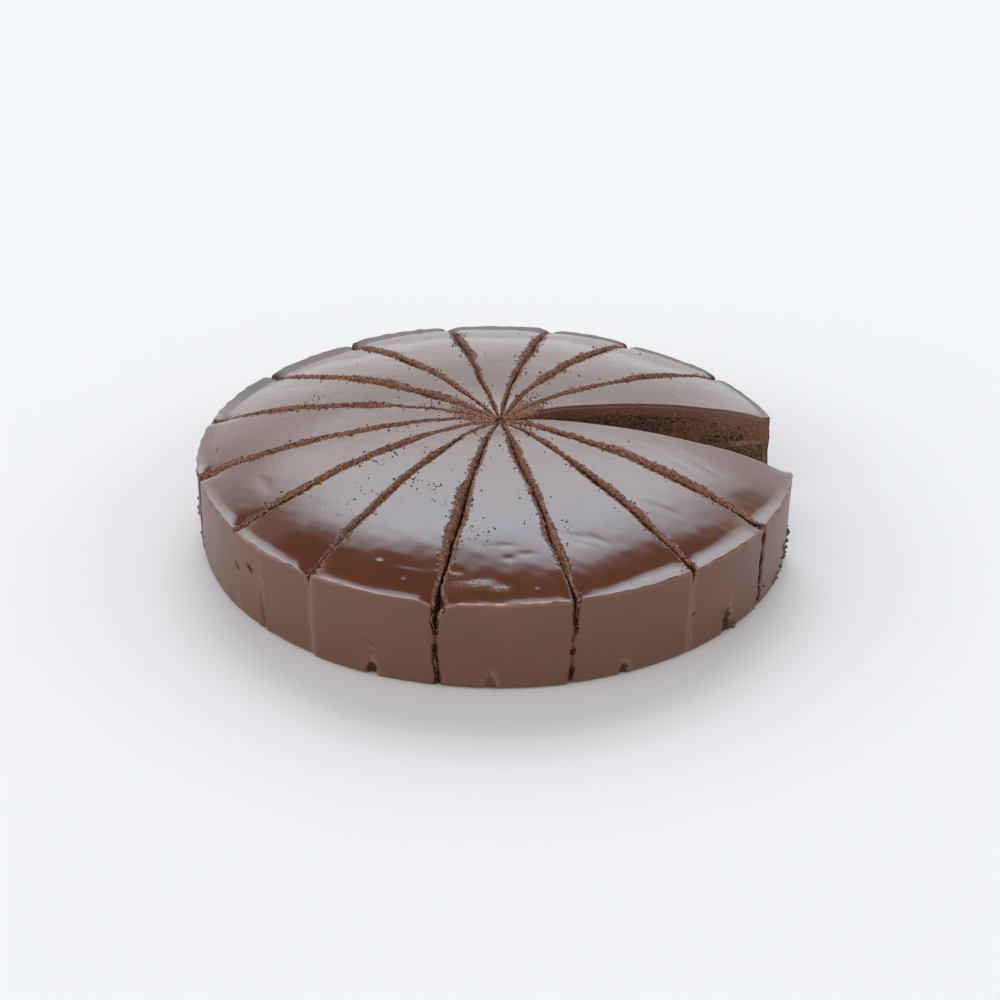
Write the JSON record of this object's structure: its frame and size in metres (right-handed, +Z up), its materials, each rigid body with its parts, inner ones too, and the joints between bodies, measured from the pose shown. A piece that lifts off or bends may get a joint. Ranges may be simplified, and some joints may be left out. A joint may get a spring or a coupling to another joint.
{
  "type": "chocolate fudge cake",
  "caption": "Round domed chocolate fudge cake with satin icing over dark sponge and a thin filling, hand-cut into wedges with one wedge gone, for serving.",
  "frame": {"origin": "on the cake's axis, at the level that it stands on", "axes": "+Z up; -Y faces the picture's viewpoint; the empty place of the missing wedge lies along +X"},
  "size_m": [0.2673, 0.2707, 0.0565],
  "materials": {
    "icing": "satin milk-chocolate fudge icing",
    "sponge": "open, crumbly dark chocolate sponge",
    "filling": "soft fudge filling"
  },
  "bodies": {
    "root": {"slice_01_sponge_lower": "sponge", "slice_01_filling": "filling", "slice_01_sponge_upper": "sponge", "slice_01_icing": "icing", "slice_02_sponge_lower": "sponge", "slice_02_filling": "filling", "slice_02_sponge_upper": "sponge", "slice_02_icing": "icing", "slice_03_sponge_lower": "sponge", "slice_03_filling": "filling", "slice_03_sponge_upper": "sponge", "slice_03_icing": "icing", "slice_04_sponge_lower": "sponge", "slice_04_filling": "filling", "slice_04_sponge_upper": "sponge", "slice_04_icing": "icing", "slice_05_sponge_lower": "sponge", "slice_05_filling": "filling", "slice_05_sponge_upper": "sponge", "slice_05_icing": "icing", "slice_06_sponge_lower": "sponge", "slice_06_filling": "filling", "slice_06_sponge_upper": "sponge", "slice_06_icing": "icing", "slice_07_sponge_lower": "sponge", "slice_07_filling": "filling", "slice_07_sponge_upper": "sponge", "slice_07_icing": "icing", "slice_08_sponge_lower": "sponge", "slice_08_filling": "filling", "slice_08_sponge_upper": "sponge", "slice_08_icing": "icing", "slice_09_sponge_lower": "sponge", "slice_09_filling": "filling", "slice_09_sponge_upper": "sponge", "slice_09_icing": "icing", "slice_10_sponge_lower": "sponge", "slice_10_filling": "filling", "slice_10_sponge_upper": "sponge", "slice_10_icing": "icing", "slice_11_sponge_lower": "sponge", "slice_11_filling": "filling", "slice_11_sponge_upper": "sponge", "slice_11_icing": "icing", "slice_12_sponge_lower": "sponge", "slice_12_filling": "filling", "slice_12_sponge_upper": "sponge", "slice_12_icing": "icing", "slice_13_sponge_lower": "sponge", "slice_13_filling": "filling", "slice_13_sponge_upper": "sponge", "slice_13_icing": "icing", "slice_14_sponge_lower": "sponge", "slice_14_filling": "filling", "slice_14_sponge_upper": "sponge", "slice_14_icing": "icing", "slice_15_sponge_lower": "sponge", "slice_15_filling": "filling", "slice_15_sponge_upper": "sponge", "slice_15_icing": "icing"}
  },
  "joints": []
}
